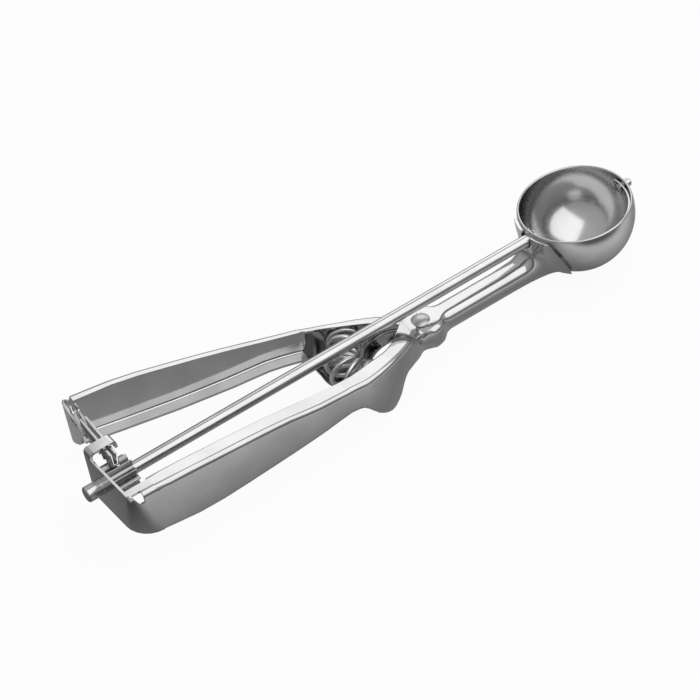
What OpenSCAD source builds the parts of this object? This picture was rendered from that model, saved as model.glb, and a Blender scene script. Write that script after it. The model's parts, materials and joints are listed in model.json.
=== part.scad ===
// Squeeze-handle ice cream scoop: a pressed channel handle carries the bowl, a second
// handle swings on a rivet, and a rack on it turns a pinion, a long rod and the bowl's blade.
// The origin is the centre of the bowl's sphere, on the rod's axis. +X runs along the rod to
// the bowl's tip, +Y is the side of the swinging handle and +Z is the side of the bowl's mouth.

/* [Bowl] */
// Outside radius of the bowl's sphere
bowl_r = 20.5; // [18:0.1:24]
// Height of the rim above the rod's axis
bowl_rise = 3.6; // [3.2:0.1:5]
// Thickness of the bowl's sheet
bowl_sheet = 0.9; // [0.6:0.05:1.2]

/* [Handles] */
// Distance from the bowl's centre to the outer face of the end wall
rear_x = 195.5; // [185:0.5:210]
// Distance from the bowl's centre to the rivet that the handles turn on
pivot_x = 67.3; // [62:0.1:72]
// Distance from the rod's axis to the outer face of a handle at its rear
grip_y = 22.6; // [20:0.1:26]
// Angle that the swinging handle stands open at rest
open_deg = 7; // [5:0.1:9]
// Thickness of the handles' sheet
sheet = 0.95; // [0.7:0.05:1.2]
// Width of the flange along each edge of a handle
flange = 5.6; // [4:0.1:7]
// Depth of the finger hook below the grip
hook_drop = 10.6; // [6:0.1:14]
// Half the width of the shank between the rivet and the bowl
shank_w = 4.4; // [3.8:0.1:5.5]

/* [Rivet] */
// Diameter of the rivet's shaft
rivet_d = 4; // [3:0.1:5]
// Diameter of the rivet's heads
rivet_head_d = 7; // [6:0.1:9]

/* [Rod] */
// Diameter of the long rod
rod_d = 4.4; // [3.6:0.1:5]
// Diameter of the journal at the rear of the rod
stub_d = 5.7; // [5:0.1:7]
// Length of the journal behind the end wall
stub_out = 5.8; // [3:0.1:9]
// Radial step between the journal and its free end
stub_step = 0.2; // [0.1:0.05:0.5]
// Diameter of the rod's front tenon and of the front pin
pin_d = 3; // [2:0.1:4]
// Radial clearance of a part that turns in a hole
run_gap = 0.06; // [0.03:0.01:0.1]

/* [Rack and pinion] */
// Number of teeth on the pinion
teeth = 10; // [8:1:12]
// Module of the teeth
tooth_m = 1; // [0.8:0.05:1.1]
// Length of the pinion along the rod
pinion_len = 11; // [7:0.1:12]
// Width of the rack
rack_w = 2.7; // [2.4:0.1:3.4]
// Height of the rack's side walls above its pitch line
rack_h = 6.5; // [5:0.1:8]

/* [Blade] */
// Width of the sweeper blade
blade_w = 4.8; // [4:0.1:6]
// Gap between the blade and the bowl
blade_gap = 0.3; // [0.2:0.05:0.6]

/* [Spring] */
// Outside diameter of the handle spring
coil_d = 13.6; // [11:0.1:14.5]
// Diameter of the spring's wire
wire_d = 1.8; // [1.2:0.1:2.2]
// Number of turns
coil_turns = 8; // [4:1:9]

/* [Hidden] */

$fn = 64;
steel = [0.78, 0.79, 0.80];
dull = [0.62, 0.63, 0.64];

// Handle stations are written for these sizes and scaled to the ones above.
drawn_len = 128.2;
drawn_grip = 22.6;
drawn_hook = 10.6;
grip_len = rear_x - pivot_x;
kx = grip_len / drawn_len;
ky = grip_y / drawn_grip;

rim_r = sqrt(bowl_r * bowl_r - bowl_rise * bowl_rise);
bowl_in = bowl_r - bowl_sheet;
pitch_r = tooth_m * teeth / 2;
pitch = PI * tooth_m;
tip_r = pitch_r + tooth_m;
root_r = pitch_r - 1.25 * tooth_m;
pinion_x0 = -rear_x + sheet + 0.35;
pinion_x1 = pinion_x0 + pinion_len;
rack_x = -rear_x + 6.95;
rack_arm = -rack_x - pivot_x;
squeeze_deg = 180 * pitch_r / rack_arm;
guide_gap = 0.4;
rack_top = pitch_r + rack_h;
guide_z = rack_top + guide_gap + sheet;

// ---------------------------------------------------------------- curve helpers

// Row of table T whose span holds x; the first column rises.
function row(T, x, i = 0) = i >= len(T) - 2 || x <= T[i + 1][0] ? i : row(T, x, i + 1);

// Slope of column k at row i, without overshoot.
function slope(T, i, k) =
    let (a = i == 0 ? undef : (T[i][k] - T[i - 1][k]) / (T[i][0] - T[i - 1][0]),
         b = i == len(T) - 1 ? undef : (T[i + 1][k] - T[i][k]) / (T[i + 1][0] - T[i][0]))
    i == 0 ? b : i == len(T) - 1 ? a : a * b <= 0 ? 0 : 2 * a * b / (a + b);

// Column k of table T at x, on a smooth curve through the rows.
function at(T, x, k) =
    let (i = row(T, x), h = T[i + 1][0] - T[i][0], t = (x - T[i][0]) / h,
         m = slope(T, i, k) * h, n = slope(T, i + 1, k) * h)
    T[i][k] * (1 + 2 * t) * (1 - t) ^ 2 + m * t * (1 - t) ^ 2
    + T[i + 1][k] * t ^ 2 * (3 - 2 * t) + n * t ^ 2 * (t - 1);

function arc(y, z, r, a, b, n) = [for (i = [0:n]) let (q = a + (b - a) * i / n)
    [y + r * cos(q), z + r * sin(q)]];

function unit2(v) = v / max(norm(v), 1e-9);

// The same line moved to its left by t.
function beside(L, t) = [for (i = [0:len(L) - 1])
    let (u = unit2(L[min(i + 1, len(L) - 1)] - L[max(i - 1, 0)]))
    L[i] + t * [-u[1], u[0]]];

// A closed skin over rings that each hold 2n points: n along the outer face of the sheet,
// then n back along its inner face.
module sheet_loft(rings) {
    L = len(rings[0]);
    m = len(rings);
    sides = [for (i = [0:m - 2], j = [0:L - 1])
        let (a = i * L + j, b = i * L + (j + 1) % L, c = a + L, d = b + L)
        each [[a, d, b], [a, c, d]]];
    caps = [for (e = [0, m - 1], k = [0:L / 2 - 2])
        let (a = e * L + k, b = a + 1, c = e * L + L - 2 - k, d = c + 1)
        each e == 0 ? [[a, b, c], [a, c, d]] : [[a, c, b], [a, d, c]]];
    polyhedron(points = [for (r = rings) each r], faces = concat(sides, caps), convexity = 12);
}

function reversed(L) = [for (i = [len(L) - 1:-1:0]) L[i]];

module lever_place(deg = -open_deg) {
    translate([-pivot_x, 0, 0])
        rotate([0, 0, deg])
            translate([pivot_x, 0, 0])
                children();
}

module along_x(x0, x1, r) {
    translate([x0, 0, 0])
        rotate([0, 90, 0])
            cylinder(h = x1 - x0, r = r);
}

// ---------------------------------------------------------------- pressed handles

// Stations of the fixed handle: distance behind the rivet, half width, top, bottom,
// shoulder radius, reach of the top flange, reach of the bottom flange and the share of the
// far wall that is there.
fixed_rows = [
    [-39.3, 4.4, -7.8, -15.9, 2.9, 8.8, 3.7, 1],
    [-9.5, 4.4, -7.8, -15.9, 2.9, 8.8, 3.7, 1],
    [-7, 5.1, -7.7, -16.1, 2.8, 10.2, 4.4, 1],
    [-4.6, 7, -7.45, -16.5, 2.5, 14, 6.3, 1],
    [-1.3, 7.6, -7.4, -16.8, 2.4, 15.2, 6.9, 1],
    [1.5, 6.6, -7.4, -16.8, 2.1, 13.6, 5.9, 0.5],
    [3.4, 6, -7.4, -16.7, 2, 12.4, 5, 0.1],
    [4.6, 6.9, -6.9, -16.4, 2, 11.6, 4.8, 0.03],
    [6.7, 8.6, -5.4, -16.1, 2, 10, 5, 0.03],
    [10.2, 10.2, -4.6, -15.6, 2, 8.3, 5.2, 0.03],
    [13.9, 11.7, -4.2, -15.6, 1.9, 6.5, 5.4, 0.03],
    [17.2, 13.2, -3.9, -18.1, 1.8, 5.8, 5.6, 0.03],
    [19.8, 14.2, -3.7, -21.4, 1.8, 5.6, 5.6, 0.03],
    [24.1, 15.7, -3.4, -23.5, 1.8, 6.2, 5.6, 0.03],
    [28.8, 16.9, -3.1, -21.4, 1.8, 6.5, 5.6, 0.03],
    [32.3, 17.5, -2.9, -17.4, 1.8, 6.4, 5.6, 0.03],
    [35.3, 17.6, -2.6, -14, 1.9, 5.9, 5.6, 0.03],
    [38, 17.7, -2.2, -13.1, 1.9, 5.7, 5.6, 0.03],
    [40.7, 17.8, -1.9, -12.7, 1.9, 5.6, 5.6, 0.03],
    [51.7, 19.1, 0, -12.9, 2, 6, 5.6, 0.03],
    [64.7, 19.9, 2.7, -13.3, 2, 5.8, 5.6, 0.03],
    [84.7, 21.3, 6, -13.2, 2, 5.8, 5.6, 0.03],
    [104.7, 22.6, 8.5, -12.2, 2, 6.1, 5.6, 0.03],
    [118.7, 22.6, 9.6, -10.4, 2, 5.6, 5.6, 0.03],
    [122.4, 22.6, 9.8, -10.1, 2, 5.3, 5.6, 0.03],
    [128.2, 22.6, 10, -9.8, 2, 5, 5.6, 0.03]];

// Stations of the swinging handle in front of the hook, where it runs in under the fixed
// handle's top plate; behind them it is the fixed handle's mirror image.
lever_front = [
    [4, 5.9, -8.8, -14.3, 1.8, 5.2, 5.2, 0],
    [6.7, 7.6, -7.7, -14.4, 1.8, 5, 5.4, 0],
    [10.2, 9.3, -6.2, -14.8, 1.8, 4.8, 5.6, 0],
    [13.9, 10.1, -5.1, -16.2, 1.8, 4.4, 5.6, 0],
    [17.2, 10.8, -4.3, -18.6, 1.8, 4.2, 6, 0],
    [19.8, 11.4, -3.8, -21.6, 1.8, 4, 7.4, 0],
    [24.1, 12.6, -3.4, -23.5, 1.8, 3.5, 9.6, 0],
    [28.8, 14.2, -3.1, -23.6, 1.8, 3.1, 11.2, 0],
    [32.3, 15.4, -2.9, -22.8, 1.8, 3, 12.4, 0],
    [33.8, 15.8, -2.8, -22.1, 1.8, 3, 12.8, 0],
    [35.2, 16.2, -2.6, -20.3, 1.8, 3, 13.2, 0],
    [36.6, 16.6, -2.5, -17.5, 1.8, 3, 13.6, 0],
    [37.3, 16.9, -2.4, -15.2, 1.8, 3, 13.9, 0],
    [37.9, 17.1, -2.4, -14, 1.8, 3.1, 13.9, 0],
    [38.6, 17.3, -2.3, -13.9, 1.8, 3.1, 6, 0]];
lever_top = [[40, 3.1, 0.2], [51.7, 3.3, 0.4], [104.7, 3.6, 0.5], [118.7, 4, 0.7], [200, 4, 0.7]];
lever_rows = concat(lever_front, [for (s = fixed_rows) if (s[0] > 40)
    [s[0], s[1] - 0.1, s[2] - at(lever_top, s[0], 2), s[0] < 41 ? -13.7 : s[3], s[4],
        at(lever_top, s[0], 1), 5.4, 0]]);

// Where rings stand: close together at the neck and the hook, wide apart on the grip.
boss_ds = [-9.5, -8.2, -7, -5.8, -4.6, -3, -1.3, 0, 1.5, 2.2, 2.9, 3.4];
neck_ds = [4, 4.6, 5.6, 6.7, 8.4, 10.2];
hook_ds = [for (i = [0:15]) 12 + 1.8 * i];
grip_ds = [40.7, 46, 51.7, 58, 64.7, 74.7, 84.7, 94.7, 104.7, 112.7];
corner_len = 9.9;
end_d = (grip_len - corner_len + 0.3) / kx;
cup_rings = concat([for (d = hook_ds) if (d < 35) d],
    [35.2, 36, 36.6, 37, 37.3, 37.6, 37.9, 38.6]);

// The hook's depth below the line that joins the neck to the grip follows hook_drop.
function foot(T, d) =
    let (z = at(T, d, 3), line = -15.6 + 2.9 * (d - 13.9) / 26.8)
    d > 13.9 && d < 40.7 && z < line ? line + (z - line) * hook_drop / drawn_hook : z;

// The shank keeps its own width, and the handle widens from the rivet to the grip.
function half(T, d) = at(T, d, 1) * (d < 0 ? shank_w / 4.4 : 1 + (ky - 1) * min(1, d / 60));

// Point at distance s along the far side: shoulder, wall, lower shoulder and bottom.
function far_point(e, r, zt, zb, s) =
    let (q = PI * r / 2, v = zt - zb - 2 * r)
    s < q ? let (a = 90 - 90 * s / q) [e - r + r * cos(a), zt - r + r * sin(a)]
    : s < q + v ? [e, zt - r - (s - q)]
    : s < 2 * q + v ? let (a = -90 * (s - q - v) / q) [e - r + r * cos(a), zb + r + r * sin(a)]
    : [e - r - (s - 2 * q - v), zb];

function far_stops(e, r, zt, zb) =
    let (q = PI * r / 2, v = zt - zb - 2 * r)
    concat([for (i = [0:4]) q * i / 4], [q + v / 2], [for (i = [0:4]) q + v + q * i / 4],
        [2 * q + v + max(e - r - 0.7, 0.8)]);

// The stops spread evenly where only the first of the far side is there.
function spread(S, f) = let (n = len(S) - 1)
    [for (i = [0:n]) f * (S[i] * f + S[n] * i / n * (1 - f))];

// Outer line of a handle's section, from its near bottom edge over the wall to the top.
function near_line(T, d) =
    let (w = half(T, d), r = at(T, d, 4), zt = at(T, d, 2), zb = foot(T, d))
    concat([[-w + at(T, d, 6) + (d > 14 ? flange - 5.6 : 0), zb]],
        arc(-w + r, zb + r, r, 270, 180, 4), [[-w, (zt + zb) / 2]],
        arc(-w + r, zt - r, r, 180, 90, 4));

function fixed_line(d) =
    let (T = fixed_rows, w = half(T, d), r = at(T, d, 4), f = at(T, d, 7),
         zt = at(T, d, 2), zb = foot(T, d), reach = at(T, d, 5) * (d < 4 ? w / at(T, d, 1) : 1),
         e = -w + reach + r * (1 - f) + (d > 14 ? flange - 5.6 : 0))
    concat(near_line(T, d),
        [for (s = spread(far_stops(e, r, zt, zb), f)) far_point(e, r, zt, zb, s)]);

function lever_line(d) =
    let (T = lever_rows, w = half(T, d), zt = at(T, d, 2),
         e = -w + at(T, d, 5) + (d > 14 ? flange - 5.6 : 0))
    concat(near_line(T, d), [[e, zt]]);

function ring_at(x, L, t) =
    let (M = beside(L, t), n = len(L))
    concat([for (p = L) [x, p[0], p[1]]], [for (i = [n - 1:-1:0]) [x, M[i][0], M[i][1]]]);

// Rings of the flare that carries the shank's sheet out onto the cradle.
shank_len = 39.3;
flare_x = -pivot_x + shank_len;
function flare_end(p, k) =
    let (y = p[0] * 2 * (k < 0.5 ? 1 : 0.93), z = 1 + (p[1] + 7.8) * 17.2 / 8.1,
         r = bowl_r + (k < 0.5 ? sheet * 0.9 : sheet * 0.25))
    [-sqrt(max(r * r - y * y - z * z, 1)), y, z];
function flare_point(p, k, t) =
    let (a = [flare_x, p[0], p[1]], c = flare_end(p, k),
         b = [c[0] - 1.2, p[0] + 0.12 * (c[1] - p[0]), p[1] + 0.12 * (c[2] - p[1])])
    a * (1 - t) ^ 2 + b * 2 * t * (1 - t) + c * t ^ 2;
function flare_ring(t) =
    let (L = fixed_line(-shank_len), M = beside(L, -sheet), n = len(L))
    concat([for (p = L) flare_point(p, 0, t)],
        [for (i = [n - 1:-1:0]) flare_point(M[i], 1, t)]);

// The wall turns through a corner into a flat end: a column of points from bottom to top
// at turn a (0 on the end, 90 on the wall) or, past it, at a distance on along the wall.
function corner_r(z, low, high) = low[1] + (high[1] - low[1]) * (z - low[0]) / (high[0] - low[0]);
function corner_pt(x0, w, low, high, a, on, z, t) =
    let (r = corner_r(z, low, high))
    [-x0 + r - (r - t) * cos(a) + on, -w + r - (r - t) * sin(a), z];
function corner_ring(x0, w, low, high, a, on, z0, z1, t, n = 5) =
    concat([for (i = [0:n]) corner_pt(x0, w, low, high, a, on, z0 + (z1 - z0) * i / n, 0)],
        [for (i = [n:-1:0]) corner_pt(x0, w, low, high, a, on, z0 + (z1 - z0) * i / n, t)]);
function flat_ring(x0, y, z0, z1, t, n = 5) =
    concat([for (i = [0:n]) [-x0, y, z0 + (z1 - z0) * i / n]],
        [for (i = [n:-1:0]) [-x0 + t, y, z0 + (z1 - z0) * i / n]]);

// A quarter bend of sheet t thick, in the plane, with its outside radius.
module bend(ro, t) {
    intersection() {
        difference() {
            circle(r = ro);
            circle(r = ro - t);
        }
        square(ro);
    }
}

module fixed_end() {
    flange_z = 9.7;
    flange_edge = grip_y - 5.4;
    relief_edge = grip_y - 2.3;
    step_x = 5.3;
    low = [-10, 9.5];
    high = [10, 2.8];
    w = grip_y - 0.03;
    t = sheet - 0.06;
    x0 = rear_x;
    foot = [-8.7, -8.75, -8.9, -9.1, -9.3, -9.4];
    head = [10, 10, 9.9, 9.6, 8.4, 6.2];
    sheet_loft(reversed([
        flat_ring(x0, end_inner, -8.7, 10, t),
        flat_ring(x0, 0, -8.7, 10, t),
        for (i = [0:5]) corner_ring(x0, w, low, high, 15 * i, 0, foot[i], head[i], t),
        corner_ring(x0, w, low, high, 90, 0, -9.5, 6, t),
        [for (i = [0:5]) [-x0 + corner_len, -w, -8.4 + 13.6 * i / 5],
         for (i = [5:-1:0]) [-x0 + corner_len, -w + t, -8.4 + 13.6 * i / 5]]]));
    // The shoulder ends short of the corner; the top flange runs on beside a small relief.
    translate([step_x - 0.1 - x0, 0, 0])
        rotate([90, 0, 90])
            linear_extrude(5) {
                translate([-w, 4.6])
                    square([t, flange_z - 2 - 4.6]);
                translate([2 - w, flange_z - 2])
                    mirror([1, 0])
                        bend(2, t);
                translate([2 - w, flange_z - t])
                    square([w - 2 - flange_edge, t]);
            }
    translate([0, 0, flange_z - t])
        linear_extrude(t)
            polygon([[0.1 - x0, -flange_edge], [0.1 - x0, -w + 0.6], [1.6 - x0, -w + 0.6],
                [1.6 - x0, -relief_edge], [step_x - x0, -relief_edge], [step_x - x0, -flange_edge]]);
}

// The end wall's sheet rises, bends forward over the rack and ends in a short lip, which
// holds the rack down on the pinion.
end_inner = 6.9;
tab_len = 10.6;
lip = 1.4;

module rack_guide() {
    y0 = 2.5;
    ro = 1.8;
    tab_x = -rear_x + 0.02;
    translate([0, end_inner, 0])
        rotate([90, 0, 0])
            linear_extrude(end_inner - y0) {
                translate([tab_x, 8])
                    square([sheet, guide_z - ro - 8]);
                translate([tab_x + ro, guide_z - ro])
                    mirror([1, 0])
                        bend(ro, sheet);
                translate([tab_x + ro, guide_z - sheet])
                    square([tab_len - 2 * ro, sheet]);
                translate([tab_x + tab_len - ro, guide_z - ro])
                    bend(ro, sheet);
                translate([tab_x + tab_len - sheet, guide_z - ro - lip])
                    square([sheet, lip]);
            }
}

// A band of sheet that hugs the rear of the bowl, cut by a leaning plane.
module cradle() {
    edge_x = -17.6;
    lean = 22;
    difference() {
        intersection() {
            sphere(r = bowl_r + sheet, $fn = 96);
            translate([edge_x * bowl_r / 20.5, 0, 0])
                rotate([0, -lean, 0])
                    translate([-40, -40, -40])
                        cube([40, 80, 80]);
            translate([-40, -40, -40])
                cube([80, 80, 40 + bowl_rise - 0.9]);
        }
        sphere(r = bowl_r + 0.02, $fn = 96);
    }
}

module fixed_handle() {
    color(steel)
    difference() {
        union() {
            sheet_loft([
                for (i = [6:-1:1]) flare_ring(i / 6),
                for (d = concat([-shank_len], boss_ds, neck_ds, hook_ds, grip_ds, [end_d]))
                    ring_at(-pivot_x - d * (d > 0 ? kx : 1), fixed_line(d), -sheet)]);
            fixed_end();
            rack_guide();
            cradle();
        }
        translate([-pivot_x, 0, -20])
            cylinder(h = 16, r = rivet_d / 2);
        along_x(-rear_x - 2, -rear_x + 3, stub_d / 2 + stub_step + run_gap);
        along_x(-bowl_r - 4, -bowl_r + 4, rod_d / 2 + 0.4);
        translate([-bowl_r - 4, -rod_d / 2 - 0.4, 0])
            cube([8, rod_d + 0.8, 6]);
        sphere(r = bowl_r + 0.01, $fn = 96);
    }
}

// ---------------------------------------------------------------- bowl

module bowl() {
    color(steel)
    difference() {
        rotate_extrude($fn = 96) {
            intersection() {
                difference() {
                    circle(r = bowl_r, $fn = 96);
                    circle(r = bowl_in, $fn = 96);
                }
                translate([0, -30])
                    square([30, 30 + bowl_rise]);
            }
            translate([(rim_r + sqrt(bowl_in ^ 2 - bowl_rise ^ 2)) / 2, bowl_rise])
                circle(r = bowl_sheet / 2, $fn = 24);
        }
        along_x(-bowl_r - 2, -bowl_in + 3, rod_d / 2 + run_gap);
        along_x(bowl_in - 3, bowl_r + 2, pin_d / 2 + run_gap);
    }
}

// ---------------------------------------------------------------- rivet

rivet_top = -7.4;
rivet_foot = -16.8;

module dome(d, h) {
    r = (d * d / 4 + h * h) / (2 * h);
    intersection() {
        translate([0, 0, h - r])
            sphere(r = r);
        cylinder(h = h, r = d / 2 + 1);
    }
}

module pivot_rivet() {
    color(steel)
    translate([-pivot_x, 0, 0]) {
        translate([0, 0, rivet_foot - 0.02])
            cylinder(h = rivet_top - rivet_foot + 0.03, r = rivet_d / 2 - 0.01);
        translate([0, 0, rivet_top + 0.01])
            dome(rivet_head_d, 1);
        translate([0, 0, rivet_foot - 0.01])
            mirror([0, 0, 1])
                dome(rivet_head_d, 1);
    }
}

// Thin spacer between the fixed top plate and the swinging arm.
module pivot_washer() {
    color(dull)
    translate([-pivot_x, 0, rivet_top - sheet - 0.3])
        difference() {
            cylinder(h = 0.24, r = rivet_d / 2 + 2);
            translate([0, 0, -1])
                cylinder(h = 3, r = rivet_d / 2 + 0.05);
        }
}

// ---------------------------------------------------------------- swinging handle

lever_end = rear_x - 4.4;
lever_kx = (lever_end - pivot_x - 3.6) / 118.7;
arm_top = -8.85;
arm_foot = -14.4;
arm_r = 4.9;

// Flat eye at the front of the arm, around the rivet.
module arm_eye(z) {
    translate([0, 0, z])
        linear_extrude(sheet - 0.08) {
            translate([-pivot_x, 0])
                circle(r = arm_r);
            polygon([[-pivot_x, arm_r], [-pivot_x, -arm_r], [-pivot_x - 2.6, -4.5],
                [-pivot_x - 7, -1.4], [-pivot_x - 7, 6.6], [-pivot_x - 3.6, 5.6]]);
        }
}

// The swinging handle's end turns in to a plate that clears the pinion and carries the rack.
module lever_end_flange() {
    w = grip_y - 0.03;
    t = sheet - 0.06;
    low = [-10, 3.4];
    high = [10, 3];
    foot = [-8.5, -8.6, -8.8, -9, -9.2, -9.4];
    head = [8.6, 8.6, 8.5, 8.2, 7.8, 7.2];
    sheet_loft(reversed([
        flat_ring(lever_end, -18, -8.3, 8.6, t),
        for (i = [0:5]) corner_ring(lever_end, w, low, high, 15 * i, 0, foot[i], head[i], t),
        corner_ring(lever_end, w, low, high, 90, 0, -9.4, 7, t),
        [for (i = [0:5]) [-lever_end + 6.2, -w, -8.4 + 15.6 * i / 5],
         for (i = [5:-1:0]) [-lever_end + 6.2, -w + t, -8.4 + 15.6 * i / 5]]]));
    translate([-lever_end, 0, 0])
        rotate([90, 0, 90])
            linear_extrude(t)
                difference() {
                    polygon([[-2.4, 7.6], [-8, 8.4], [-18.1, 8.6], [-18.1, -8.3], [-16.2, -7.4],
                        [-10.9, -3.8], [-6.8, 0], [-2.4, 5]]);
                    circle(r = tip_r + 1.3);
                }
}

module moving_handle() {
    color(steel)
    lever_place()
        difference() {
            union() {
                mirror([0, 1, 0]) {
                    sheet_loft([for (d = concat([4, 5.2, 6.7, 8.4, 10.2], cup_rings, grip_ds, [118.7]))
                        ring_at(-pivot_x - d * lever_kx,
                            lever_line(d), -sheet)]);
                    lever_end_flange();
                }
                arm_eye(arm_top - sheet + 0.04);
                arm_eye(arm_foot + 0.04);
            }
            translate([-pivot_x, 0, -20])
                cylinder(h = 16, r = rivet_d / 2 + run_gap);
            rack_rivet_holes();
        }
}

module rack_rivet_holes() {
    for (y = rivet_ys)
        translate([-lever_end - 1, y, rivet_z])
            rotate([0, 90, 0])
                cylinder(h = 4, r = 0.61);
}

// ---------------------------------------------------------------- rack

tooth_slack = 0.17;
rack_tip = pitch_r - 0.9 * tooth_m;
rack_root = pitch_r + 1.15 * tooth_m;
rack_sheet = 0.75;
rack_teeth = ceil((PI * pitch_r + 2.5) / pitch) + 1;
rack_front = -1.25 * tooth_m;
tail = [5.2, 16];
// The toothed rail runs on into the tail, which stands on the open handle's end.
rail_end = round((lever_end - pivot_x) * sin(open_deg) + tail[0] + 0.8);
ears = [13, 15.6];
ear_h = 4;
rivet_ys = [9, 11.6];
rivet_z = rack_root + 1.2;

module rack_tooth() {
    half_pitch = pitch / 4 - tooth_slack;
    a = tan(20);
    down = half_pitch - (pitch_r - rack_tip) * a;
    up = half_pitch + (rack_root + 0.3 - pitch_r) * a;
    polygon([[-down, rack_tip], [down, rack_tip], [up, rack_root + 0.3], [-up, rack_root + 0.3]]);
}

module rack_walls(y0, y1, z0, z1) {
    for (x = [-rack_w / 2, rack_w / 2 - rack_sheet])
        translate([x, y0, z0])
            cube([rack_sheet, y1 - y0, z1 - z0]);
}

module rack() {
    color(steel) {
        translate([rack_x, 0, 0])
            rotate([0, 0, -squeeze_deg / 2]) {
                translate([rack_w / 2, 0, 0])
                    rotate([90, 0, -90])
                        linear_extrude(rack_w)
                            intersection() {
                                union() {
                                    for (i = [0:rack_teeth - 1])
                                        translate([-i * pitch, 0])
                                            rack_tooth();
                                    translate([-rail_end, rack_root])
                                        square([rail_end - rack_front, rack_sheet]);
                                }
                                translate([-rail_end, 0])
                                    square([rail_end - rack_front, 20]);
                            }
                rack_walls(rack_front, rail_end, rack_root, rack_top);
            }
        lever_place()
            difference() {
                translate([-lever_end + sheet - 0.04 + rack_w / 2, 0, 0]) {
                    rack_walls(tail[0], tail[1], rack_root, rack_root + 2.3);
                    rack_walls(ears[0], ears[1], rack_root, rack_root + ear_h);
                    translate([-rack_w / 2, tail[0], rack_root])
                        cube([rack_w, tail[1] - tail[0], rack_sheet]);
                }
                rack_rivet_holes();
            }
    }
}

module rack_rivets() {
    color(dull)
    lever_place()
        for (y = rivet_ys)
            translate([-lever_end - 0.01, y, rivet_z])
                rotate([0, -90, 0]) {
                    dome(2, 0.3);
                    mirror([0, 0, 1])
                        cylinder(h = sheet + rack_sheet + 0.04, r = 0.6);
                }
}

// ---------------------------------------------------------------- rod, pinion and blade

blade_out = bowl_in - blade_gap;
blade_t = 0.8;
blade_in = blade_out - blade_t;
hub_x = blade_out + 0.05;

module ejector_rod() {
    color(steel) {
        along_x(-rear_x - 0.2, pinion_x0 - 0.05, stub_d / 2 + stub_step);
        along_x(-rear_x - stub_out + 0.4, -rear_x - 0.19, stub_d / 2);
        translate([-rear_x - stub_out, 0, 0])
            rotate([0, 90, 0])
                cylinder(h = 0.4, r1 = stub_d / 2 - 0.4, r2 = stub_d / 2);
        along_x(pinion_x0 - 0.06, -hub_x, rod_d / 2);
        along_x(-hub_x - 0.01, -blade_in + 0.7, pin_d / 2);
    }
}

module pinion_tooth() {
    polygon([[root_r - 0.5, -0.72 * tooth_m], [root_r, -0.72 * tooth_m],
        [pitch_r - 0.5 * tooth_m, -0.7 * tooth_m], [pitch_r, -0.58 * tooth_m],
        [tip_r - 0.1, -0.24 * tooth_m], [tip_r, -0.14 * tooth_m],
        [tip_r, 0.14 * tooth_m], [tip_r - 0.1, 0.24 * tooth_m],
        [pitch_r, 0.58 * tooth_m], [pitch_r - 0.5 * tooth_m, 0.7 * tooth_m],
        [root_r, 0.72 * tooth_m], [root_r - 0.5, 0.72 * tooth_m]]);
}

module pinion() {
    color(steel)
    translate([pinion_x0, 0, 0])
        rotate([0, 90, 0])
            linear_extrude(pinion_len)
                difference() {
                    union() {
                        circle(r = root_r);
                        for (i = [0:teeth - 1])
                            rotate(180 + (i + 0.5) * 360 / teeth)
                                pinion_tooth();
                    }
                    circle(r = rod_d / 2 + 0.01);
                }
}

// A strip of the bowl's own curve, lying along the near side of the bowl at rest.
module sweeper_blade() {
    color(steel)
    difference() {
        intersection() {
            sphere(r = blade_out, $fn = 96);
            translate([-30, -30, -blade_w / 2])
                cube([60, 30 + rod_d / 2 + 0.3, blade_w]);
        }
        sphere(r = blade_in, $fn = 96);
        along_x(-bowl_r, bowl_r, pin_d / 2 + 0.01);
    }
}

module front_pivot_pin() {
    color(steel) {
        along_x(blade_in - 0.4, bowl_r + 2.3, pin_d / 2);
        translate([bowl_r + 2.3, 0, 0])
            rotate([0, 90, 0])
                cylinder(h = 0.4, r1 = pin_d / 2, r2 = pin_d / 2 - 0.4);
    }
}

// Small washer riveted up behind the blade's rear eye.
module blade_hub_cap() {
    color(dull)
    difference() {
        along_x(-blade_in + 0.35, -blade_in + 0.95, pin_d / 2 + 1);
        along_x(-bowl_r, 0, pin_d / 2 + 0.01);
    }
}

// ---------------------------------------------------------------- handle spring

spring_d = 24.1;
spring_z = -11.3;
spring_bow = 5;
coil_r = (coil_d - wire_d) / 2;
function wall_front(T) = half(T, spring_d - coil_d / 2) - sheet;
function wall_rear(T) = half(T, spring_d + coil_d / 2) - sheet;
function wall_slope(T) = (wall_rear(T) - wall_front(T)) / coil_d;
function wall_lean(T, k) = atan(wall_slope(T) / k);
function wall_at(T, r) = min([for (i = [-5:5])
    half(T, spring_d + i * r / 5) - sheet - i * r / 5 * wall_slope(T)]) - 0.03;
function seat_n(T, k) = [-sin(wall_lean(T, k)), cos(wall_lean(T, k)), 0];
function seat(T, k) = [-pivot_x - spring_d * k, -wall_at(T, coil_d / 2), spring_z]
    + seat_n(T, k) * (wire_d / 2 + 0.06);

function turned(v, a) = [v[0] * cos(a) - v[1] * sin(a), v[0] * sin(a) + v[1] * cos(a), v[2]];
function lever_pt(p) = let (q = turned([p[0] + pivot_x, p[1], p[2]], -open_deg))
    [q[0] - pivot_x, q[1], q[2]];

seat_a = seat(fixed_rows, kx);
lean_a = seat_n(fixed_rows, kx);
seat_l = seat(lever_rows, lever_kx);
lean_l = seat_n(lever_rows, lever_kx);
seat_b = lever_pt([seat_l[0], -seat_l[1], spring_z]);
lean_b = turned([lean_l[0], -lean_l[1], 0], -open_deg);
span = norm(seat_b - seat_a) / 2;

// The spring's bowed centre line at share t, and its direction.
function axis_pt(t) = seat_a * (1 - t) ^ 3 + (seat_a + lean_a * span * 0.7) * 3 * t * (1 - t) ^ 2
    + (seat_b + lean_b * span * 0.7) * 3 * t ^ 2 * (1 - t) + seat_b * t ^ 3
    - [spring_bow * sin(180 * t) ^ 2, 0, 0];
function axis_dir(t) = let (v = axis_pt(min(t + 0.01, 1)) - axis_pt(max(t - 0.01, 0)))
    v / norm(v);

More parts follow.
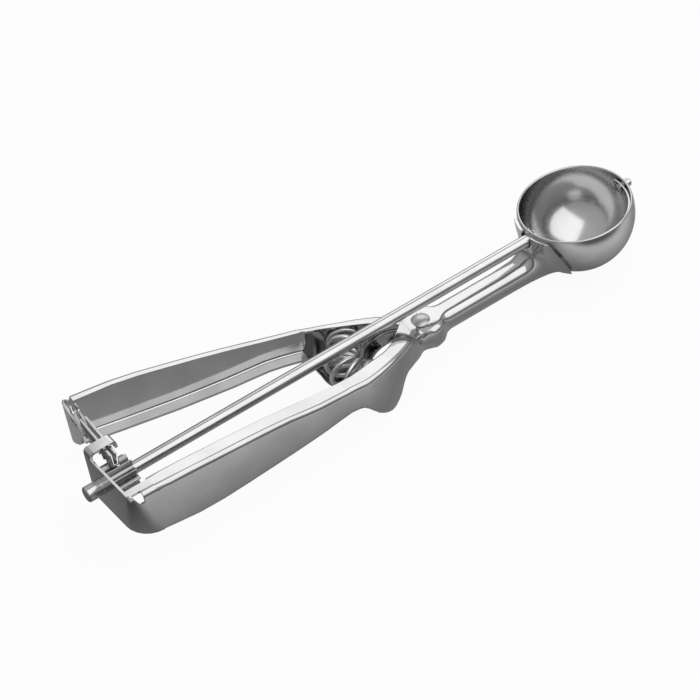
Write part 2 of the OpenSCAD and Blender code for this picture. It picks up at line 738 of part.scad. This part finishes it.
// Turns lie close together at both ends.
function rise(u) = let (e = 0.11) u < e ? u * 0.35 : u > 1 - e ? 1 - (1 - u) * 0.35
    : e * 0.35 + (u - e) * (1 - 0.7 * e) / (1 - 2 * e);
function coil_pt(u, r) =
    let (t = rise(u), d = axis_dir(t), s = [d[1], -d[0], 0], a = u * 360 * (coil_turns + 1))
    axis_pt(t) + (s * cos(a) + [0, 0, 1] * sin(a)) * r;

module handle_spring() {
    n = 20 * (coil_turns + 1);
    k = 8;
    color(dull)
    polyhedron(points = [for (i = [0:n])
            let (u = i / n, t = rise(u), d = axis_dir(t), c = coil_pt(u, coil_r),
                 s = (c - axis_pt(t)) / coil_r)
            for (j = [0:k - 1]) c + (s * cos(j * 360 / k) + d * sin(j * 360 / k)) * wire_d / 2],
        faces = concat([[for (j = [0:k - 1]) j]], [[for (j = [k - 1:-1:0]) n * k + j]],
            [for (i = [0:n - 1], j = [0:k - 1])
                let (a = i * k + j, b = i * k + (j + 1) % k)
                each [[a, b + k, b], [a, a + k, b + k]]]),
        convexity = 20);
}

module spring_stud(T, k) {
    r = coil_r - wire_d / 2 - 0.5;
    translate([-pivot_x - spring_d * k, -wall_at(T, r), spring_z])
        rotate([0, 0, wall_lean(T, k)])
            rotate([-90, 0, 0]) {
                cylinder(h = 2.6, r = r);
                translate([0, 0, 2.6])
                    dome(2 * r, 0.8);
            }
}

module spring_stud_fixed() {
    color(dull)
        spring_stud(fixed_rows, kx);
}

module spring_stud_lever() {
    color(dull)
        lever_place()
            mirror([0, 1, 0])
                spring_stud(lever_rows, lever_kx);
}

fixed_handle();
bowl();
pivot_rivet();
pivot_washer();
handle_spring();
spring_stud_fixed();
spring_stud_lever();
moving_handle();
rack();
rack_rivets();
ejector_rod();
pinion();
sweeper_blade();
front_pivot_pin();
blade_hub_cap();
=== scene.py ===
import json
import math

import bmesh
import bpy
from mathutils import Matrix, Vector


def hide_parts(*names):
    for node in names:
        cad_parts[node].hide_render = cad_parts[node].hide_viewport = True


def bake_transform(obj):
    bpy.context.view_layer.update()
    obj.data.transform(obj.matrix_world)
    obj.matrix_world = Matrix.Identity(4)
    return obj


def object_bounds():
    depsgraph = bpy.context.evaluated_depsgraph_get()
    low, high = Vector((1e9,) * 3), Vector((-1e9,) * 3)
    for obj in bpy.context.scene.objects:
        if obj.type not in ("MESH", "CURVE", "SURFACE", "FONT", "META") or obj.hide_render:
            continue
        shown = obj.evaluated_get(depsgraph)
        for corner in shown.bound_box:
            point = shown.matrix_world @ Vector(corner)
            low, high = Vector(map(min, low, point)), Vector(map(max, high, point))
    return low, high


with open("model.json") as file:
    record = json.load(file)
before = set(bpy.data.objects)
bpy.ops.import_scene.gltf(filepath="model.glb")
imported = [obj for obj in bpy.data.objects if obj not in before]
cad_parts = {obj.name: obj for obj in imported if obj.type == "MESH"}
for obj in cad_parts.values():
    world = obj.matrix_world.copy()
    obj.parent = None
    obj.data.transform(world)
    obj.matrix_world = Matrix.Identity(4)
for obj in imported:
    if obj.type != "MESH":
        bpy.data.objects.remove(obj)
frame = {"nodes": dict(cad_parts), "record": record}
cad_low, cad_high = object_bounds()
nodes = frame["nodes"]
MM = 0.001


def add_to_scene(name, data):
    """A new object that holds data, in the scene."""
    made = bpy.data.objects.new(name, data)
    bpy.context.scene.collection.objects.link(made)
    return made


# ------------------------------------------------------------------ camera

CAMERA_AT = Vector((-566.0, -987.8, 989.1)) * MM
AIM_AT = Vector((-97.0, -3.0, 0.0)) * MM
CAMERA_ROLL = math.radians(-12.32)
LENS_MM = 224.45
SENSOR_MM = 36
NEAREST = 0.05
FARTHEST = 20


def add_camera():
    """A long lens that looks down on the handle's rear, rolled so that the rod runs up to the right."""
    data = bpy.data.cameras.new("camera")
    data.lens = LENS_MM
    data.sensor_width = SENSOR_MM
    data.clip_start = NEAREST
    data.clip_end = FARTHEST
    camera = add_to_scene("camera", data)
    turn = (AIM_AT - CAMERA_AT).to_track_quat("-Z", "Y").to_matrix().to_4x4()
    camera.matrix_world = (
        Matrix.Translation(CAMERA_AT) @ turn @ Matrix.Rotation(CAMERA_ROLL, 4, "Z")
    )
    bpy.context.scene.camera = camera


# ------------------------------------------------------------------ shader nodes

NOISE_SPAN = (0.3, 0.7)  # where nearly all of a noise texture's values lie
MIX_SOCKETS = {"FLOAT": (2, 3, 0), "RGBA": (6, 7, 2)}  # first input, second input, output


def new_material(name):
    """A node material with its tree and an output that nothing feeds yet."""
    material = bpy.data.materials.new(name)
    material.use_nodes = True
    tree = material.node_tree
    tree.nodes.clear()
    output = tree.nodes.new("ShaderNodeOutputMaterial")
    return material, tree, output


def feed(tree, socket, value):
    """Links value to socket if it's an output, else sets it there as a constant."""
    if isinstance(value, bpy.types.NodeSocket):
        tree.links.new(value, socket)
    else:
        socket.default_value = value


def ramp(tree, value, stops):
    """A colour that follows value through stops, each a position and a colour."""
    node = tree.nodes.new("ShaderNodeValToRGB")
    elements = node.color_ramp.elements
    while len(elements) < len(stops):
        elements.new(0.5)
    for element, (at, colour) in zip(elements, stops):
        element.position = at
        element.color = (*colour, 1)
    tree.links.new(value, node.inputs["Fac"])
    return node.outputs["Color"]


def tone_ramp(tree, value, stops):
    """A neutral grey that follows value through stops, each a position and a tone."""
    return ramp(tree, value, [(at, (tone,) * 3) for at, tone in stops])


def arithmetic(tree, operation, first, second):
    node = tree.nodes.new("ShaderNodeMath")
    node.operation = operation
    feed(tree, node.inputs[0], first)
    feed(tree, node.inputs[1], second)
    return node.outputs[0]


def mixed(tree, kind, factor, first, second, blend="MIX"):
    """first turns into second as factor rises from 0 to 1; kind is FLOAT or RGBA."""
    node = tree.nodes.new("ShaderNodeMix")
    node.data_type = kind
    node.blend_type = blend
    first_at, second_at, result_at = MIX_SOCKETS[kind]
    feed(tree, node.inputs[0], factor)
    feed(tree, node.inputs[first_at], first)
    feed(tree, node.inputs[second_at], second)
    return node.outputs[result_at]


def noise(tree, vector, scale, detail):
    node = tree.nodes.new("ShaderNodeTexNoise")
    node.inputs["Scale"].default_value = scale
    node.inputs["Detail"].default_value = detail
    tree.links.new(vector, node.inputs["Vector"])
    return node.outputs["Fac"]


def stretched(tree, vector, scale):
    node = tree.nodes.new("ShaderNodeMapping")
    node.inputs["Scale"].default_value = scale
    tree.links.new(vector, node.inputs["Vector"])
    return node.outputs["Vector"]


def spread(tree, value, low, high):
    """A noise value spread over low to high."""
    node = tree.nodes.new("ShaderNodeMapRange")
    node.inputs["From Min"].default_value = NOISE_SPAN[0]
    node.inputs["From Max"].default_value = NOISE_SPAN[1]
    node.inputs["To Min"].default_value = low
    node.inputs["To Max"].default_value = high
    tree.links.new(value, node.inputs["Value"])
    return node.outputs["Result"]


def bumped(tree, height, strength, depth):
    """A bump node; its Normal input can take another one's Normal output."""
    node = tree.nodes.new("ShaderNodeBump")
    node.inputs["Strength"].default_value = strength
    node.inputs["Distance"].default_value = depth
    tree.links.new(height, node.inputs["Height"])
    return node


# ------------------------------------------------------------------ steels

BLUE_CAST = 1.01  # how much more blue than red and green the steels have
CLOUD_SCALE = 90.0
CLOUD_DETAIL = 4.0
CLOUD_EDGES = (0.35, 0.65)
LINE_DETAIL = 2.0
LINE_DEPTH = 0.02 * MM
WAVE_SCALE = 45.0
WAVE_DETAIL = 1.0
WAVE_DEPTH = 0.15 * MM

# tones: darkest and lightest grey. gloss: lowest and highest roughness. grain: noise cells in
# a metre along X, Y and Z. lines and waves: how strongly the grain and the sheet's waviness show.
STEELS = {
    "pressed_steel": dict(
        tones=(0.52, 0.58), gloss=(0.07, 0.15), grain=(150, 2500, 2500), lines=0.06, waves=0.15
    ),
    "bowl_steel": dict(
        tones=(0.52, 0.58), gloss=(0.12, 0.22), grain=(900, 900, 900), lines=0.05, waves=0.1
    ),
    "rod_steel": dict(
        tones=(0.54, 0.60), gloss=(0.10, 0.2), grain=(120, 3000, 3000), lines=0.1
    ),
    "rivet_steel": dict(
        tones=(0.5, 0.58), gloss=(0.32, 0.44), grain=(900, 900, 900), lines=0.2
    ),
    "spring_steel": dict(
        tones=(0.66, 0.76), gloss=(0.24, 0.36), grain=(900, 900, 900), lines=0.15
    ),
    "gear_steel": dict(
        tones=(0.34, 0.44), gloss=(0.25, 0.4), grain=(400, 2500, 2500), lines=0.3
    ),
}


def steel(name, tones, gloss, grain, lines, waves=0.0):
    """Polished steel: faint grain, cloudy wear in its gloss, and soft waviness of the sheet."""
    material, tree, output = new_material(name)
    shader = tree.nodes.new("ShaderNodeBsdfPrincipled")
    shader.inputs["Metallic"].default_value = 1.0
    tree.links.new(shader.outputs["BSDF"], output.inputs["Surface"])
    place = tree.nodes.new("ShaderNodeTexCoord").outputs["Object"]
    cloud = noise(tree, place, CLOUD_SCALE, CLOUD_DETAIL)
    streaks = noise(tree, stretched(tree, place, grain), 1.0, LINE_DETAIL)
    colours = [(tone, tone, tone * BLUE_CAST) for tone in tones]
    colour = ramp(tree, cloud, list(zip(CLOUD_EDGES, colours)))
    tree.links.new(colour, shader.inputs["Base Color"])
    wear = mixed(tree, "FLOAT", 0.5, cloud, streaks)
    tree.links.new(spread(tree, wear, *gloss), shader.inputs["Roughness"])
    bump = bumped(tree, streaks, lines, LINE_DEPTH)
    if waves:
        swell = bumped(tree, noise(tree, place, WAVE_SCALE, WAVE_DETAIL), waves, WAVE_DEPTH)
        tree.links.new(swell.outputs["Normal"], bump.inputs["Normal"])
    tree.links.new(bump.outputs["Normal"], shader.inputs["Normal"])
    return material


MATERIALS = {name: steel(name, **look) for name, look in STEELS.items()}


def dress(mesh, slot):
    """The slot's steel, smooth shading, and none of the normals that the mesh came with."""
    mesh.materials.clear()
    mesh.materials.append(MATERIALS[slot])
    if mesh.has_custom_normals:
        mesh.attributes.remove(mesh.attributes["custom_normal"])
    mesh.polygons.foreach_set("use_smooth", [True] * len(mesh.polygons))


# ------------------------------------------------------------------ edges and bends

WELD_REACH = 0.002 * MM
SHARP_ANGLE = math.radians(32)
EDGE_ROUND = {"pressed_steel": 0.16, "bowl_steel": 0.1}  # in mm
EDGE_ROUND_REST = 0.08

# Where a bend is eased: its X, how far the easing reaches on each side in mm, and its rounds.
NECK_EASE = (-73.0, 6.5, 20)
FLARE_EASE = (-28.5, 5.5, 4)
EASED = {"fixed_handle": (NECK_EASE, FLARE_EASE)}
EASE_GAIN = 1.6  # the easing is at its fullest within 1 - 1 / EASE_GAIN of its reach

# The sheet stays flat under the rivet's head, and its underside keeps clear of the swinging handle.
RIVET_AT = (-67.3, 0)
RIVET_SEAT = 3.8
RIVET_SEAT_FADE = 1.6
UNDERSIDE_TILT = -0.2
UNDERSIDE_MOST = 0.3


def ease(piece, at, reach, rounds):
    """Draws the sheet smoothly through a tight bend, less and less away from it."""
    group = piece.vertex_groups.new(name=f"eased_{abs(at):.0f}")
    for point in piece.data.vertices:
        x, y = point.co.x / MM, point.co.y / MM
        share = 1 - abs(x - at) / reach
        off_rivet = math.hypot(x - RIVET_AT[0], y - RIVET_AT[1])
        clear = (off_rivet - RIVET_SEAT) / RIVET_SEAT_FADE
        most = 1.0 if point.normal.z > UNDERSIDE_TILT else UNDERSIDE_MOST
        if share > 0 and clear > 0:
            group.add([point.index], min(most, EASE_GAIN * share, clear), "REPLACE")
    smooth = piece.modifiers.new("ease", "SMOOTH")
    smooth.vertex_group = group.name
    smooth.factor = 0.5
    smooth.iterations = rounds


def soften(piece, width):
    """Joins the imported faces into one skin, eases its bends and rounds its sharp edges."""
    weld = piece.modifiers.new("weld", "WELD")
    weld.merge_threshold = WELD_REACH
    for place in EASED.get(piece.name, ()):
        ease(piece, *place)
    bevel = piece.modifiers.new("round", "BEVEL")
    bevel.width = width * MM
    bevel.segments = 2
    bevel.limit_method = "ANGLE"
    bevel.angle_limit = SHARP_ANGLE
    bevel.use_clamp_overlap = True
    normals = piece.modifiers.new("normals", "WEIGHTED_NORMAL")
    normals.mode = "FACE_AREA"
    normals.keep_sharp = True


# ------------------------------------------------------------------ spring

ANY_ANGLE = 3.14  # joins triangles into quads whatever the angle between them


def add_spring():
    """A rounder copy of the coil, shown in place of the imported one."""
    mesh = nodes["handle_spring"].data.copy()
    dress(mesh, "spring_steel")
    wire = bmesh.new()
    wire.from_mesh(mesh)
    bmesh.ops.remove_doubles(wire, verts=wire.verts, dist=WELD_REACH)
    bmesh.ops.join_triangles(
        wire,
        faces=wire.faces,
        angle_face_threshold=ANY_ANGLE,
        angle_shape_threshold=ANY_ANGLE,
    )
    wire.to_mesh(mesh)
    wire.free()
    spring = add_to_scene("spring_coil", mesh)
    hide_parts("handle_spring")
    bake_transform(spring)
    rounder = spring.modifiers.new("rounder", "SUBSURF")
    rounder.levels = rounder.render_levels = 1


# ------------------------------------------------------------------ floor and light

FLOOR_HALF = 3.0
FLOOR_WHITE = 0.94
FLOOR_GLOSS_WHITE = 0.06
FLOOR_TONE = 0.8

# What the steel mirrors of the floor, painted: tones by mm from the near wall's line, + towards +Y, a
# painted pale band with painted contact shade between it and the wall ...
PAINTED_REFLECTION_BAND_AT = Vector((-195.0, -22.6, 0.0)) * MM
PAINTED_REFLECTION_BAND_TURN = math.radians(6.3)
PAINTED_REFLECTION_BAND_REACH = 300 * MM
PAINTED_REFLECTION_BAND = [
    (-280, 0.4),
    (-200, 0.09),
    (-64, 0.09),
    (-48, 0.8),
    (-36, 0.8),
    (-10, 0.3),
    (6, 0.5),
    (40, 0.6),
    (90, 0.5),
]
# ... times a painted shade behind the handle's rear, which the end wall mirrors: tones from one reach
# behind its line (0) to one reach before it (1).
PAINTED_REAR_SHADE_AT = Vector((-250.0, 0.0, 0.0)) * MM
PAINTED_REAR_SHADE_REACH = 80 * MM
PAINTED_REAR_SHADE = [(0.0, 0.6), (0.4, 0.1), (0.72, 0.1), (0.94, 1.0)]

# The sky's tones, from straight down (0) over the horizon (0.5) to straight up (1).
SKY = [(0.5, 0.16), (0.6, 0.4), (0.95, 0.6)]

# Each soft lamp: the direction it stands in, metres away, size in metres, watts.
LAMPS = {
    "lamp_back": ((0.551, 0.657, 0.515), 1.2, (0.8, 0.8), 2.15),
    "lamp_over": ((0.3, -0.5, 0.81), 1.0, (1.2, 1.3), 4.9),
}


def ray_share(tree, camera, other):
    """camera for camera rays, other for glossy and transmission rays, else nothing."""
    rays = tree.nodes.new("ShaderNodeLightPath").outputs
    total = arithmetic(tree, "MULTIPLY", rays["Is Camera Ray"], camera)
    for name in ("Is Glossy Ray", "Is Transmission Ray"):
        share = arithmetic(tree, "MULTIPLY", rays[name], other)
        total = arithmetic(tree, "ADD", total, share)
    return total


def slide(tree, place, at, turn, reach):
    """A value that rises from 0 to 1 from reach before at to reach beyond it, along turn."""
    mapping = tree.nodes.new("ShaderNodeMapping")
    mapping.vector_type = "TEXTURE"
    mapping.inputs["Location"].default_value = at
    mapping.inputs["Rotation"].default_value = (0, 0, turn)
    mapping.inputs["Scale"].default_value = (2 * reach, 2 * reach, 1)
    tree.links.new(place, mapping.inputs["Vector"])
    parts = tree.nodes.new("ShaderNodeSeparateXYZ")
    tree.links.new(mapping.outputs["Vector"], parts.inputs[0])
    return arithmetic(tree, "ADD", parts.outputs["X"], 0.5)


def add_floor():
    """A wide pale floor under the lowest point; it shows white and keeps a soft shadow.

    The steel mirrors painted tones: a pale band along the handle's near side, painted contact shade
    between it and the wall, grey beyond it and painted shade behind.
    """
    half, z = FLOOR_HALF, cad_low[2]
    corners = [(-half, -half, z), (half, -half, z), (half, half, z), (-half, half, z)]
    mesh = bpy.data.meshes.new("floor")
    mesh.from_pydata(corners, [], [(0, 1, 2, 3)])
    floor = add_to_scene("floor", mesh)
    material, tree, output = new_material("floor")
    place = tree.nodes.new("ShaderNodeTexCoord").outputs["Object"]
    # Painted reflections: tone bands across the near wall's line, with painted contact shade close to
    # the wall, times a painted shade behind the rear.
    across = slide(tree, place, PAINTED_REFLECTION_BAND_AT, math.radians(90) + PAINTED_REFLECTION_BAND_TURN, PAINTED_REFLECTION_BAND_REACH)
    along = slide(tree, place, PAINTED_REAR_SHADE_AT, 0.0, PAINTED_REAR_SHADE_REACH)
    painted_band = tone_ramp(
        tree, across, [(0.5 + at * MM / PAINTED_REFLECTION_BAND_REACH / 2, tone) for at, tone in PAINTED_REFLECTION_BAND]
    )
    # Painted shade on the floor behind the handle's rear, which the end wall mirrors.
    painted_rear_shade = tone_ramp(tree, along, PAINTED_REAR_SHADE)
    painted_reflections = mixed(tree, "RGBA", 1.0, painted_band, painted_rear_shade, "MULTIPLY")
    pale = (FLOOR_TONE, FLOOR_TONE, FLOOR_TONE, 1)
    diffuse = tree.nodes.new("ShaderNodeBsdfDiffuse")
    # The camera sees the pale floor; all other rays get the painted reflections and painted shade.
    tree.links.new(
        mixed(tree, "RGBA", ray_share(tree, 1.0, 0.0), painted_reflections, pale), diffuse.inputs["Color"]
    )
    white = tree.nodes.new("ShaderNodeEmission")
    white.inputs["Color"].default_value = (1, 1, 1, 1)
    white.inputs["Strength"].default_value = 1.0
    mix = tree.nodes.new("ShaderNodeMixShader")
    tree.links.new(ray_share(tree, FLOOR_WHITE, FLOOR_GLOSS_WHITE), mix.inputs["Fac"])
    tree.links.new(diffuse.outputs["BSDF"], mix.inputs[1])
    tree.links.new(white.outputs["Emission"], mix.inputs[2])
    tree.links.new(mix.outputs["Shader"], output.inputs["Surface"])
    mesh.materials.append(material)


def add_lamp(name, direction, far, size, power):
    """A soft rectangular lamp, far metres out in direction, that faces the object."""
    data = bpy.data.lights.new(name, "AREA")
    data.shape = "RECTANGLE"
    data.size, data.size_y = size
    data.energy = power
    lamp = add_to_scene(name, data)
    out = Vector(direction).normalized()
    lamp.location = (cad_low + cad_high) / 2 + out * far
    lamp.rotation_euler = (-out).to_track_quat("-Z", "Y").to_euler()
    lamp.visible_camera = False


def add_sky():
    """A world that is white to the camera and grey to the steel, lighter overhead."""
    world = bpy.data.worlds.new("studio")
    bpy.context.scene.world = world
    world.use_nodes = True
    tree = world.node_tree
    tree.nodes.clear()
    output = tree.nodes.new("ShaderNodeOutputWorld")
    background = tree.nodes.new("ShaderNodeBackground")
    tree.links.new(background.outputs["Background"], output.inputs["Surface"])
    parts = tree.nodes.new("ShaderNodeSeparateXYZ")
    tree.links.new(tree.nodes.new("ShaderNodeTexCoord").outputs["Generated"], parts.inputs[0])
    height = tree.nodes.new("ShaderNodeMapRange")
    height.inputs["From Min"].default_value = -1.0
    tree.links.new(parts.outputs["Z"], height.inputs["Value"])
    tones = tone_ramp(tree, height.outputs["Result"], SKY)
    colour = mixed(tree, "RGBA", ray_share(tree, 1.0, 0.0), tones, (1, 1, 1, 1))
    tree.links.new(colour, background.inputs["Color"])


add_camera()
for part in frame["record"]["subparts"]:
    piece, slot = nodes[part["node"]], part["material_slot"]
    dress(piece.data, slot)
    if part["node"] != "handle_spring":
        soften(piece, EDGE_ROUND.get(slot, EDGE_ROUND_REST))
add_spring()
add_floor()
add_sky()
for name, look in LAMPS.items():
    add_lamp(name, *look)
bpy.context.scene.view_settings.view_transform = "Standard"
